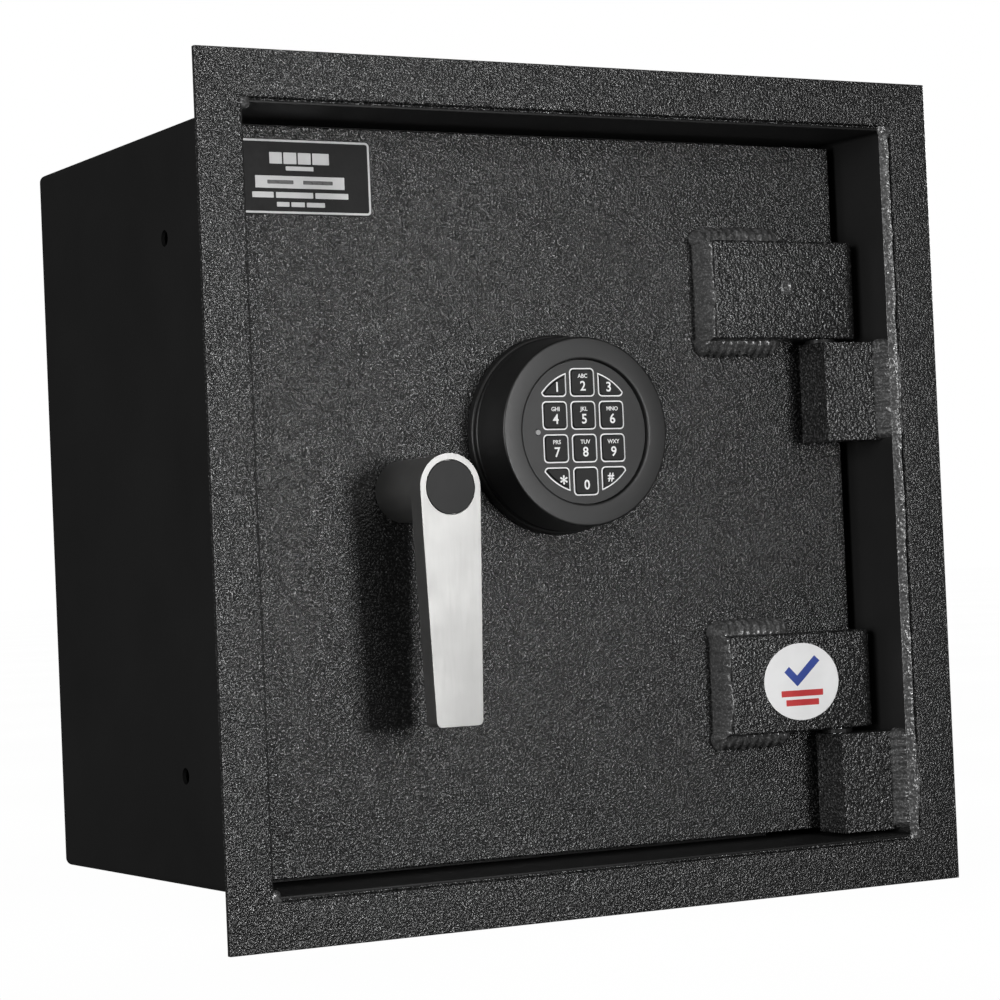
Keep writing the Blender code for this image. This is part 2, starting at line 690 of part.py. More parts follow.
def keypad_base(door):
    back = DOOR_Y - GAP
    front = back - PAD_BASE_T
    chamfer = 1.0 * MM
    profile = (
        (PAD_BASE_BORE_R, front),
        (PAD_BASE_R - chamfer, front),
        (PAD_BASE_R, front + chamfer),
        (PAD_BASE_R, back),
        (PAD_BASE_BORE_R, back),
    )
    ring = turned_ring(profile, (PAD_X, PAD_Z), 48)
    add_piece("keypad_base", ring, "black_plastic", door, rounded=True)


def keypad_housing(door):
    """The bezel: a slightly conical shell with a recessed window and a ledge behind it."""
    back = DOOR_Y - GAP - PAD_BASE_T - GAP
    ledge_front = PAD_FACE_Y + PAD_FACE_T + GAP
    ledge_back = ledge_front + PAD_LEDGE_T
    profile = (
        (PAD_FACE_R, PAD_FRONT_Y + 0.3 * MM),
        (PAD_FACE_R + 0.5 * MM, PAD_FRONT_Y),
        (PAD_RIM_R - PAD_EDGE, PAD_FRONT_Y),
        (PAD_RIM_R, PAD_FRONT_Y + PAD_EDGE),
        (PAD_SKIRT_R, back),
        (PAD_SKIRT_R - PAD_WALL, back),
        (PAD_RIM_R - PAD_WALL, ledge_back),
        (PAD_LEDGE_R, ledge_back),
        (PAD_LEDGE_R, ledge_front),
        (PAD_FACE_R, ledge_front),
    )
    ring = turned_ring(profile, (PAD_X, PAD_Z), 48)
    add_piece("keypad_housing", ring, "black_plastic", door, rounded=True)


def key_outline(column, row, half, reach):
    """A rounded square, or at the four corners one trimmed to a radius about the centre."""
    x = (column - 1) * KEY_PITCH
    z = (1.5 - row) * KEY_PITCH
    outline = rounded_rectangle(sides_of(x, half), sides_of(z, half), KEY_CORNER, 3)
    if column != 1 and row in (0, 3):
        outline = trim_to_circle(outline, reach)
    return [(PAD_X + px, PAD_Z + pz) for px, pz in outline]


def trim_to_circle(outline, reach):
    """Cut off the part of an outline that lies outside a circle about the origin."""
    kept = []
    for i, point in enumerate(outline):
        following = outline[(i + 1) % len(outline)]
        inside = math.hypot(*point) <= reach
        if inside:
            kept.append(point)
        if inside != (math.hypot(*following) <= reach):
            kept.append(crossing(point, following, reach))
    angles = [math.atan2(z, x) for x, z in kept if abs(math.hypot(x, z) - reach) < 0.001 * MM]
    first, last = angles[0], angles[-1]
    middle = [first + (last - first) * i / 4 for i in (1, 2, 3)]
    at = [i for i, p in enumerate(kept) if abs(math.hypot(*p) - reach) < 0.001 * MM]
    bulge = [(reach * math.cos(a), reach * math.sin(a)) for a in middle]
    if at[-1] - at[0] == 1:
        return kept[: at[0] + 1] + bulge + kept[at[-1] :]
    return kept + bulge[::-1]


def crossing(inner, outer, reach):
    """The point between two points at a given distance from the origin."""
    low, high = 0.0, 1.0
    inner_in = math.hypot(*inner) <= reach
    for _ in range(40):
        share = (low + high) / 2
        x = inner[0] + (outer[0] - inner[0]) * share
        z = inner[1] + (outer[1] - inner[1]) * share
        if (math.hypot(x, z) <= reach) == inner_in:
            low = share
        else:
            high = share
    return (x, z)


def keypad_face(door):
    """The face plate, with a window for each key and one for the lamp."""
    depth = (PAD_FACE_Y, PAD_FACE_Y + PAD_FACE_T)
    rim = PAD_FACE_R - GAP
    face = cylinder((PAD_X, depth[0], PAD_Z), rim, PAD_FACE_T, (0, 1, 0), 48)
    face = add_piece("keypad_face", face, "black_plastic", door, rounded=True)
    cut_y = (depth[0] - MM, depth[1] + MM)
    windows = bmesh.new()
    for row, names in enumerate(KEY_ROWS):
        for column in range(len(names)):
            outline = key_outline(column, row, KEY_HALF + GAP, KEY_REACH + GAP)
            window = plate(outline, cut_y)
            add_to(windows, window)
    combine(face, add_tool("key_windows", windows, door), "DIFFERENCE")
    hole = cylinder((PAD_X + LED_X, cut_y[0], PAD_Z), LED_R + GAP, 5 * MM, (0, 1, 0), 12)
    combine(face, add_tool("lamp_hole", hole, door), "DIFFERENCE")
    lamp_y = PAD_FACE_Y - 0.4 * MM
    lamp = cylinder((PAD_X + LED_X, lamp_y, PAD_Z), LED_R, BOARD_Y[0] - GAP - lamp_y, (0, 1, 0), 12)
    add_piece("status_lamp", lamp, "lamp_lens", door, rounded=True)


def add_to(target, source):
    """Add one bmesh's faces to another, and free it."""
    copies = {vert: target.verts.new(vert.co) for vert in source.verts}
    for face in source.faces:
        target.faces.new([copies[vert] for vert in face.verts])
    source.free()


def keypad_board_and_battery(door):
    board = cylinder(
        (PAD_X, BOARD_Y[0], PAD_Z), BOARD_R, BOARD_Y[1] - BOARD_Y[0], (0, 1, 0), ROUND
    )
    add_piece("keypad_circuit_board", board, "circuit_board", door)
    cell = box(
        sides_of(PAD_X, BATTERY[0] / 2),
        (BATTERY_Y, BATTERY_Y + BATTERY[1]),
        sides_of(PAD_Z, BATTERY[2] / 2),
    )
    add_piece("keypad_battery", cell, "battery_case", door)


def keypad_keys(door):
    for row, names in enumerate(KEY_ROWS):
        for column, name in enumerate(names):
            x = PAD_X + (column - 1) * KEY_PITCH
            z = PAD_Z + (1.5 - row) * KEY_PITCH
            slide = joint_empty(f"key_{name}_slide", (x, KEY_Y[0], z), door)
            outline = key_outline(column, row, KEY_HALF, KEY_REACH)
            add_piece(f"key_{name}", plate(outline, KEY_Y), "key_rubber", slide)


# ---------------------------------------------------------------- assembly


def build_safe():
    clear_scene()
    flange_bars()
    body_sheets()
    strike_and_stops()
    door = joint_empty("door_pivot", (PIVOT_X, PIVOT_Y, 0.0))
    for level, z in (("upper", HINGE_Z), ("lower", -HINGE_Z)):
        frame_hinge(level, z)
        door_hinge_block(level, z, door)
    door_plate(door)
    spindle_bushing(door)
    label_and_sticker(door)
    lock_at = (LOCK_BOLT_X[0], LOCK_BOLT_Y[0], LOCK_BOLT_Z[0])
    lock_slide = joint_empty("lock_bolt_slide", lock_at, door)
    lock_and_hard_plate(door, lock_slide)
    bolt_guide(door)
    boltwork_cover(door)
    handle = joint_empty("handle_pivot", (HANDLE_X, DOOR_Y, HANDLE_Z), door)
    handle_lever(handle)
    spindle_and_crank(handle)
    carrier = joint_empty("carrier_slide", (CARRIER_X[0], CARRIER_Y[0], 0.0), door)
    bolt_carrier(carrier)
    keypad_base(door)
    keypad_housing(door)
    keypad_face(door)
    keypad_board_and_battery(door)
    keypad_keys(door)
    bpy.context.view_layer.update()


build_safe()
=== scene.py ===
"""Looks of the in-wall safe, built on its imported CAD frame.

Frame: +X right and +Z up as seen from the room, +Y into the wall, metres. The back face of the
flange lies at Y = 0.
"""

import math

import bmesh
import bpy
from mathutils import Matrix, Vector, noise


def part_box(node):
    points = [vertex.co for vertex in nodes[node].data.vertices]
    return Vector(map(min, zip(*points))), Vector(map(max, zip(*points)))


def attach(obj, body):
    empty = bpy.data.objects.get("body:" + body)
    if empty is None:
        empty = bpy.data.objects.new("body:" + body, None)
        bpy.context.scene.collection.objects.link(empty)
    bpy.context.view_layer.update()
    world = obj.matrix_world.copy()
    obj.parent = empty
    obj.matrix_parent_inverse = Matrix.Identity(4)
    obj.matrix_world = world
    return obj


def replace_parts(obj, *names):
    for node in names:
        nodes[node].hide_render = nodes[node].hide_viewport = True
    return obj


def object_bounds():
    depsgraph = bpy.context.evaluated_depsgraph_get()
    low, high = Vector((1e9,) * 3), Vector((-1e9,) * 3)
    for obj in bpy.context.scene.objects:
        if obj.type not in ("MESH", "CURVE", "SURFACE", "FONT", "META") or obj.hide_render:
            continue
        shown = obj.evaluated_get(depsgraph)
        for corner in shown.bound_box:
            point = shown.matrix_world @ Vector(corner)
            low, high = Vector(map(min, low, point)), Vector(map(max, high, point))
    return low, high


MM = 0.001
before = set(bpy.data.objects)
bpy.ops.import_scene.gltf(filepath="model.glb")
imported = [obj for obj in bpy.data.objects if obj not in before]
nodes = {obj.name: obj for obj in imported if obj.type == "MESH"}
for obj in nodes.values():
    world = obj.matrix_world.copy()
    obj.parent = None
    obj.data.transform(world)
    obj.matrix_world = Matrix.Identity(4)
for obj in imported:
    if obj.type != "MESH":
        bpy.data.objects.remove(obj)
cad_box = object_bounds()

KEY_NAMES = ("1", "2", "3", "4", "5", "6", "7", "8", "9", "star", "0", "hash")

SHEET = 1.9 * MM
ANCHOR_HOLE_RADIUS = 3.97 * MM
ANCHOR_HOLE_DEPTH = 90.9 * MM
ANCHOR_HOLE_LEVEL = 128.2 * MM

KEY_PITCH = 15.95 * MM
KEY_LINE_OUTER = (7.0 * MM, 6.95 * MM, 2.2 * MM)
KEY_LINE_INNER = (6.4 * MM, 6.35 * MM, 1.8 * MM)
KEY_RING_OUTER = 29.9 * MM
KEY_RING_INNER = 29.3 * MM

PRINT_GAP = 0.005 * MM
PRINT_THICK = 0.06 * MM
LETTER_THICK = 0.03 * MM

WORLD_LIGHT = 0.06


# ---------------------------------------------------------------- materials


def material(name):
    """A new material with its node tree, its Principled shader and its object-space output."""
    made = bpy.data.materials.new(name)
    made.use_nodes = True
    tree = made.node_tree
    place = tree.nodes.new("ShaderNodeTexCoord")
    return made, tree, tree.nodes["Principled BSDF"], place.outputs["Object"]


def noise_of(tree, place, scale, detail=4.0, roughness=0.55, stretch=None):
    """A noise texture in object space, stretched along an axis where stretch is given."""
    texture = tree.nodes.new("ShaderNodeTexNoise")
    texture.inputs["Scale"].default_value = scale
    texture.inputs["Detail"].default_value = detail
    texture.inputs["Roughness"].default_value = roughness
    if stretch:
        mapping = tree.nodes.new("ShaderNodeMapping")
        mapping.inputs["Scale"].default_value = stretch
        tree.links.new(place, mapping.inputs["Vector"])
        place = mapping.outputs["Vector"]
    tree.links.new(place, texture.inputs["Vector"])
    return texture.outputs["Fac"]


def ramp_of(tree, value, stops):
    """A colour ramp: stops are (position, colour), a colour being a grey or three numbers."""
    ramp = tree.nodes.new("ShaderNodeValToRGB")
    ramp.color_ramp.elements[0].position = stops[0][0]
    ramp.color_ramp.elements[1].position = stops[-1][0]
    for position, _ in stops[1:-1]:
        ramp.color_ramp.elements.new(position)
    for element, (_, colour) in zip(ramp.color_ramp.elements, stops):
        parts = colour if isinstance(colour, tuple) else (colour, colour, colour)
        element.color = (*parts, 1.0)
    tree.links.new(value, ramp.inputs["Fac"])
    return ramp.outputs["Color"]


def range_of(tree, value, low, high, start=0.3, end=0.7):
    """The value mapped from start-end to low-high."""
    mapped = tree.nodes.new("ShaderNodeMapRange")
    mapped.inputs["From Min"].default_value = start
    mapped.inputs["From Max"].default_value = end
    mapped.inputs["To Min"].default_value = low
    mapped.inputs["To Max"].default_value = high
    tree.links.new(value, mapped.inputs["Value"])
    return mapped.outputs["Result"]


def bump_of(tree, height, distance, below=None):
    """A full-strength bump, on top of another where below is given."""
    bump = tree.nodes.new("ShaderNodeBump")
    bump.inputs["Strength"].default_value = 1.0
    bump.inputs["Distance"].default_value = distance
    tree.links.new(height, bump.inputs["Height"])
    if below:
        tree.links.new(below, bump.inputs["Normal"])
    return bump.outputs["Normal"]


def paint(name, shades, roughness, grain, grain_depth, orange_peel, peel_depth, specular=0.5):
    """Painted steel: a mottled colour, uneven gloss, and two scales of bump."""
    made, tree, shader, place = material(name)
    cloud = noise_of(tree, place, 14.0, 5.0)
    speck = noise_of(tree, place, grain, 3.0, 0.6)
    mix = tree.nodes.new("ShaderNodeMath")
    mix.operation = "MULTIPLY_ADD"
    mix.inputs[1].default_value = 0.5
    tree.links.new(speck, mix.inputs[0])
    half = tree.nodes.new("ShaderNodeMath")
    half.operation = "MULTIPLY"
    half.inputs[1].default_value = 0.5
    tree.links.new(cloud, half.inputs[0])
    tree.links.new(half.outputs[0], mix.inputs[2])
    colour = ramp_of(tree, mix.outputs[0], ((0.35, shades[0]), (0.65, shades[1])))
    tree.links.new(colour, shader.inputs["Base Color"])
    tree.links.new(range_of(tree, speck, *roughness), shader.inputs["Roughness"])
    shader.inputs["Specular IOR Level"].default_value = specular
    peel = bump_of(tree, noise_of(tree, place, orange_peel, 2.0, 0.5), peel_depth)
    tree.links.new(bump_of(tree, speck, grain_depth, peel), shader.inputs["Normal"])
    return made


def textured(name, shades, roughness, scale, grain_depth, lump_scale, lump_depth):
    """Textured powder coat: hard little granules with glossier tips, over a soft peel; the tips
    are also painted paler, a painted highlight standing in for glints on the granules.
    """
    made, tree, shader, place = material(name)
    grain = noise_of(tree, place, scale, 1.6, 0.5)
    # The top stop is painted highlight: the highest grains get a lighter colour that stands in for
    # glints on the granule tips, on top of the grain itself.
    stops = ((0.4, shades[0]), (0.54, shades[1]), (0.68, shades[2]))
    tree.links.new(ramp_of(tree, grain, stops), shader.inputs["Base Color"])
    gloss = range_of(tree, grain, roughness[1], roughness[0], 0.35, 0.65)
    tree.links.new(gloss, shader.inputs["Roughness"])
    lumps = bump_of(tree, noise_of(tree, place, lump_scale, 2.0, 0.5), lump_depth)
    tree.links.new(bump_of(tree, grain, grain_depth, lumps), shader.inputs["Normal"])
    shader.inputs["Specular IOR Level"].default_value = 0.75
    return made


def metal(name, tint, roughness, stretch, grain_depth, scale):
    """Bare or plated metal with a directional grain."""
    made, tree, shader, place = material(name)
    shader.inputs["Metallic"].default_value = 1.0
    grain = noise_of(tree, place, scale, 6.0, 0.65, stretch)
    cloud = noise_of(tree, place, 30.0, 3.0)
    dark = tuple(0.86 * part for part in tint)
    tree.links.new(ramp_of(tree, cloud, ((0.35, dark), (0.65, tint))), shader.inputs["Base Color"])
    tree.links.new(range_of(tree, grain, *roughness), shader.inputs["Roughness"])
    tree.links.new(bump_of(tree, grain, grain_depth), shader.inputs["Normal"])
    return made


def moulding(name, shades, roughness, grain, depth, specular=0.5):
    """Plastic, rubber or printed film: fine texture with a little colour variation."""
    made, tree, shader, place = material(name)
    fine = noise_of(tree, place, grain, 3.0, 0.6)
    cloud = noise_of(tree, place, 40.0, 3.0)
    tree.links.new(
        ramp_of(tree, cloud, ((0.35, shades[0]), (0.65, shades[1]))), shader.inputs["Base Color"]
    )
    tree.links.new(range_of(tree, fine, *roughness), shader.inputs["Roughness"])
    tree.links.new(bump_of(tree, fine, depth), shader.inputs["Normal"])
    shader.inputs["Specular IOR Level"].default_value = specular
    return made


# In each textured coat the third, palest shade is painted highlight on the granule tips.
COAT = textured(
    "textured_coat", (0.002, 0.007, 0.075), (0.19, 0.33), 900.0, 0.95 * MM, 420.0, 0.25 * MM
)
BLOCK_COAT = textured(
    "block_coat", (0.003, 0.01, 0.07), (0.2, 0.34), 760.0, 0.85 * MM, 330.0, 0.6 * MM
)
# Painted light: the welds wear the same powder coat as the door, painted paler here so the beads
# read as brighter, lit surfaces.
WELD_COAT_PAINTED_LIGHTER = textured(
    "weld_coat_painted_lighter", (0.04, 0.075, 0.16), (0.18, 0.3), 900.0, 0.2 * MM, 500.0, 0.2 * MM
)
BODY_PAINT = paint(
    "body_paint", (0.007, 0.011), (0.4, 0.52), 2200.0, 0.04 * MM, 600.0, 0.04 * MM, 0.2
)
NICKEL = metal(
    "satin_nickel", (0.34, 0.338, 0.332), (0.42, 0.5), (1.0, 1.0, 0.08), 0.004 * MM, 900.0
)
STEEL = metal("turned_steel", (0.56, 0.56, 0.57), (0.2, 0.34), (0.1, 1.0, 1.0), 0.006 * MM, 1500.0)
ZINC = metal("zinc_plate", (0.5, 0.5, 0.46), (0.3, 0.48), (1.0, 1.0, 1.0), 0.01 * MM, 500.0)
BRONZE = metal(
    "bearing_bronze", (0.45, 0.31, 0.16), (0.28, 0.42), (1.0, 1.0, 0.2), 0.006 * MM, 800.0
)
HOUSING = moulding("housing_plastic", (0.006, 0.01), (0.36, 0.5), 2600.0, 0.02 * MM)
CAP = moulding("cap_plastic", (0.012, 0.017), (0.45, 0.58), 3000.0, 0.015 * MM, 0.25)
RUBBER = moulding("key_rubber", (0.011, 0.016), (0.5, 0.66), 3500.0, 0.01 * MM, 0.3)
INK = moulding("white_ink", (0.82, 0.95), (0.45, 0.6), 3000.0, 0.004 * MM)
LABEL = moulding("label_film", (0.006, 0.01), (0.5, 0.6), 800.0, 0.004 * MM, 0.2)
LABEL_INK = moulding("label_ink", (0.58, 0.7), (0.3, 0.4), 900.0, 0.003 * MM)
STICKER = moulding("sticker_film", (0.86, 0.95), (0.3, 0.4), 500.0, 0.003 * MM)
RED_INK = moulding(
    "red_ink", ((0.5, 0.03, 0.035), (0.66, 0.06, 0.06)), (0.3, 0.4), 900.0, 0.003 * MM
)
BLUE_INK = moulding(
    "blue_ink", ((0.03, 0.06, 0.28), (0.05, 0.09, 0.38)), (0.3, 0.4), 900.0, 0.003 * MM
)
BOARD = moulding(
    "board_mask", ((0.01, 0.09, 0.035), (0.02, 0.13, 0.05)), (0.3, 0.5), 1200.0, 0.02 * MM
)
SLEEVE = moulding("battery_sleeve", (0.02, 0.035), (0.25, 0.4), 900.0, 0.006 * MM)
LENS = moulding("lamp_lens", (0.35, 0.42), (0.12, 0.22), 500.0, 0.002 * MM)

# The finish of each CAD node that stays visible.
FINISHES = {
    COAT: ["door_plate"],
    BLOCK_COAT: [
        "door_hinge_block_upper",
        "door_hinge_block_lower",
        "frame_hinge_block_upper",
        "frame_hinge_block_lower",
    ],
    BODY_PAINT: [
        "back_plate",
        "strike_bar",
        "stop_bar_top",
        "stop_bar_bottom",
        "bolt_guide",
        "boltwork_cover",
        "thrust_washer_upper",
        "thrust_washer_lower",
    ],
    NICKEL: ["handle_lever"],
    STEEL: [
        "hinge_pin_upper",
        "hinge_pin_lower",
        "handle_spindle",
        "live_bolt_upper",
        "live_bolt_middle",
        "live_bolt_lower",
    ],
    ZINC: [
        "hard_plate",
        "lock_case",
        "bolt_carrier",
        "crank_arm",
        "cover_screw_upper_left",
        "cover_screw_upper_right",
        "cover_screw_lower_left",
        "cover_screw_lower_right",
    ],
    BRONZE: ["spindle_bushing", "lock_bolt"],
    CAP: ["handle_cap"],
    HOUSING: ["keypad_face"],
    RUBBER: [f"key_{name}" for name in KEY_NAMES],
    LABEL: ["label_plate"],
    STICKER: ["round_sticker"],
    BOARD: ["keypad_circuit_board"],
    SLEEVE: ["keypad_battery"],
    LENS: ["status_lamp"],
}

# How far each node's hard edges are rounded, in mm.
EDGES = {
    "door_plate": 0.7,
    "door_hinge_block_upper": 1.3,
    "door_hinge_block_lower": 1.3,
    "frame_hinge_block_upper": 1.3,
    "frame_hinge_block_lower": 1.3,
    "back_plate": 0.3,
    "strike_bar": 0.5,
    "stop_bar_top": 0.5,
    "stop_bar_bottom": 0.5,
    "bolt_guide": 0.4,
    "boltwork_cover": 0.5,
    "handle_lever": 0.9,
    "handle_cap": 0.3,
    "crank_arm": 0.4,
    "bolt_carrier": 0.4,
    "lock_case": 1.2,
    "lock_bolt": 0.4,
    "hard_plate": 0.4,
    "keypad_face": 0.15,
    "keypad_battery": 1.5,
    "round_sticker": 0.08,
    "label_plate": 0.08,
}


def finish_cad_nodes():
    for finish, names in FINISHES.items():
        for name in names:
            for place in nodes[name].material_slots:
                place.material = finish
    widths = dict(EDGES)
    widths.update({f"key_{name}": 0.35 for name in KEY_NAMES})
    for name, width in widths.items():
        soften(nodes[name], width * MM)


def soften(piece, width):
    """Round a piece's hard edges without touching its mesh."""
    weld = piece.modifiers.new("join", "WELD")
    weld.merge_threshold = 0.004 * MM
    bevel = piece.modifiers.new("edges", "BEVEL")
    bevel.width = width
    bevel.segments = 3
    bevel.limit_method = "ANGLE"
    bevel.angle_limit = math.radians(35)
    bevel.use_clamp_overlap = True
    bevel.harden_normals = False
    normals = piece.modifiers.new("normals", "WEIGHTED_NORMAL")
    normals.keep_sharp = False
    normals.weight = 80


# ---------------------------------------------------------------- pieces


def add(name, shape, finish, body, smooth=True):
    """A new piece from a bmesh in the row frame, riding on a body."""
    bmesh.ops.recalc_face_normals(shape, faces=shape.faces)
    mesh = bpy.data.meshes.new(name)
    shape.to_mesh(mesh)
    shape.free()
    return add_mesh(name, mesh, finish, body, smooth)


def add_mesh(name, mesh, finish, body, smooth=True):
    if smooth:
        mesh.shade_smooth()
    mesh.materials.append(finish)
    piece = bpy.data.objects.new(name, mesh)
    bpy.context.collection.objects.link(piece)
    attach(piece, body)
    return piece


def loops_to_mesh(loops, closed_along=False):
    """Join equal point loops into a closed surface: capped at its ends, or joined end to end."""
    shape = bmesh.new()
    rows = [[shape.verts.new(point) for point in loop] for loop in loops]
    count = len(rows[0])
    last = len(rows) if closed_along else len(rows) - 1
    for i in range(last):
        near, far = rows[i], rows[(i + 1) % len(rows)]
        for j in range(count):
            k = (j + 1) % count
            shape.faces.new((near[j], near[k], far[k], far[j]))
    if not closed_along:
        shape.faces.new(rows[0])
        shape.faces.new(list(reversed(rows[-1])))
    return shape


def rounded_square(half, radius, y, steps=8):
    """The points of a square with rounded corners, at one depth."""
    points = []
    for quarter in range(4):
        start = quarter * math.pi / 2
        cx = (half - radius) * (1, -1, -1, 1)[quarter]
        cz = (half - radius) * (1, 1, -1, -1)[quarter]
        for i in range(steps + 1):
            a = start + math.pi / 2 * i / steps
            points.append((cx + radius * math.cos(a), y, cz + radius * math.sin(a)))
    return points


def flange_frame():
    """The flange as one welded frame, with a slightly rounded opening."""
    low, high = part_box("flange_right")
    front, back = low.y, 0.0
    outer = high.x
    opening = low.x
    side_low, side_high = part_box("side_right")
    body_half = side_high.x
    lip = side_low.y
    profile = (
        (outer - 0.35 * MM, front, 0.0),
        (opening + 0.9 * MM, front, 0.7 * MM),
        (opening + 0.45 * MM, front + 0.07 * MM, 0.9 * MM),
        (opening + 0.13 * MM, front + 0.3 * MM, 1.0 * MM),
        (opening, front + 0.8 * MM, 1.1 * MM),
        (opening, lip - 0.5 * MM, 1.2 * MM),
        (opening - 0.15 * MM, lip - 0.95 * MM, 1.3 * MM),
        (opening - 0.55 * MM, lip - 1.15 * MM, 1.3 * MM),
        (opening - 1.0 * MM, lip - 0.95 * MM, 1.3 * MM),
        (body_half - 0.2 * MM, lip - 0.3 * MM, 1.4 * MM),
        (body_half - 0.4 * MM, lip + 0.6 * MM, 1.4 * MM),
        (body_half - 0.3 * MM, high.y, 3.2 * MM),
        (body_half + 3.2 * MM, 0.6 * MM, 4.0 * MM),
        (body_half + 4.4 * MM, back, 4.2 * MM),
        (outer - 0.35 * MM, back, 0.3 * MM),
        (outer, back - 0.35 * MM, 0.3 * MM),
        (outer, front + 0.35 * MM, 0.3 * MM),
    )
    loops = [rounded_square(half, max(corner, 0.25 * MM), y, 5) for half, y, corner in profile]
    shape = loops_to_mesh(loops, closed_along=True)
    piece = add("flange_frame", shape, COAT, "safe_body")
    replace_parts(piece, "flange_top", "flange_bottom", "flange_left", "flange_right")
    sharpen(piece, 32)


def sharpen(piece, degrees):
    piece.data.set_sharp_from_angle(angle=math.radians(degrees))


def body_shell():
    """The folded body as one tube with bent corners and its four anchor holes."""
    low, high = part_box("side_right")
    half = high.x
    front, back = low.y, high.y
    edge = 0.45 * MM
    profile = (
        (half, front + edge, 4.0 * MM),
        (half - 0.15 * MM, front + 0.13 * MM, 3.9 * MM),
        (half - edge, front, 3.6 * MM),
        (half - SHEET + edge, front, 2.5 * MM),
        (half - SHEET + 0.15 * MM, front + 0.13 * MM, 2.2 * MM),
        (half - SHEET, front + edge, 2.1 * MM),
        (half - SHEET, back - edge, 2.1 * MM),
        (half - SHEET + edge, back, 2.5 * MM),
        (half - edge, back, 3.6 * MM),
        (half, back - edge, 4.0 * MM),
    )
    loops = [rounded_square(size, corner, y) for size, y, corner in profile]
    shape = loops_to_mesh(loops, closed_along=True)
    piece = add("body_shell", shape, BODY_PAINT, "safe_body")
    cutters = []
    for side in (-1, 1):
        for level in (-1, 1):
            cutter = bmesh.new()
            bmesh.ops.create_cone(
                cutter,
                cap_ends=True,
                segments=40,
                radius1=ANCHOR_HOLE_RADIUS,
                radius2=ANCHOR_HOLE_RADIUS,
                depth=8 * MM,
                matrix=Matrix.Translation(
                    (side * half, ANCHOR_HOLE_DEPTH, level * ANCHOR_HOLE_LEVEL)
                )
                @ Matrix.Rotation(math.pi / 2, 4, "Y"),
            )
            mesh = bpy.data.meshes.new("cutter")
            cutter.to_mesh(mesh)
            cutter.free()
            tool = bpy.data.objects.new("cutter", mesh)
            bpy.context.collection.objects.link(tool)
            cutters.append(tool)
            modifier = piece.modifiers.new("hole", "BOOLEAN")
            modifier.operation = "DIFFERENCE"
            modifier.solver = "EXACT"
            modifier.object = tool
    apply_modifiers(piece)
    for tool in cutters:
        bpy.data.objects.remove(tool)
    sharpen(piece, 30)
    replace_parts(piece, "side_left", "side_right", "top_sheet", "bottom_sheet")


def apply_modifiers(piece):
    """Replace a new piece's mesh by what its modifiers make of it."""
    bpy.context.view_layer.update()
    graph = bpy.context.evaluated_depsgraph_get()
    mesh = bpy.data.meshes.new_from_object(piece.evaluated_get(graph))
    piece.modifiers.clear()
    piece.data = mesh


def weld_bead(name, path, body, seed, pitch, ripple, taper=(0, 0), rough=0.35 * MM):
    """A rippled fillet weld. The path is (corner point, first way, second way, both legs)."""
    samples = resample(path, 0.55 * MM)
    total = samples[-1][4]
    arc_steps = 12
    loops = []
    for point, first, second, leg, along in samples:
        width = 1.0
        if taper[0]:
            width = min(width, 0.35 + 0.65 * math.sin(min(1, along / taper[0]) * math.pi / 2))
        if taper[1]:
            left = total - along
            width = min(width, 0.35 + 0.65 * math.sin(min(1, left / taper[1]) * math.pi / 2))
        wander = noise.noise(Vector((along * 90, seed, 0.3))) * 0.13
        loop = [point - (first + second).normalized() * 0.2 * MM]
        for i in range(arc_steps + 1):
            t = i / arc_steps
            a = t * math.pi / 2
            bow = math.sin(2 * a)
            phase = (along + 1.5 * MM * bow) / pitch
            phase += 0.35 * noise.noise(Vector((math.floor(phase) * 1.7, seed, 2.0)))
            saw = phase - math.floor(phase)
            lift = ripple * (1 - saw) ** 0.7 * (0.35 + 0.65 * bow)
            lump = rough * noise.noise(Vector((along * 520, t * 4, seed + 5)))
            lump += rough * noise.noise(Vector((along * 190, t * 2.2, seed + 9)))
            scallop = 1 + 0.07 * math.sin(2 * math.pi * along / pitch + seed)
            reach_a = leg[0] * width * (1 + wander) * scallop
            reach_b = leg[1] * width * (1 - wander)
            shape = first * reach_a * math.cos(a) ** 1.3 + second * reach_b * math.sin(a) ** 1.3
            outward = (first + second).normalized()
            loop.append(point + shape + outward * (lift + lump) * (0.25 + 0.75 * bow) * width)
        loops.append(loop)
    shape = loops_to_mesh(loops)
    return add(name, shape, WELD_COAT_PAINTED_LIGHTER, body)


def resample(path, step):
    """Even samples along a path, turning its legs smoothly round each corner."""
    samples = []
    along = 0.0
    for (a, ua, va, la), (b, ub, vb, lb) in zip(path, path[1:]):
        length = (b - a).length
        turn = ua.angle(ub) + va.angle(vb)
        count = max(2, int(length / step), int(turn / 0.12))
        for i in range(count):
            t = i / count
            ways = (ua.lerp(ub, t).normalized(), va.lerp(vb, t).normalized())
            legs = tuple(p + (q - p) * t for p, q in zip(la, lb))
            samples.append((a.lerp(b, t), *ways, legs, along))
            along += max(length, turn * 3 * MM) / count
    samples.append((*path[-1], along))
    return samples


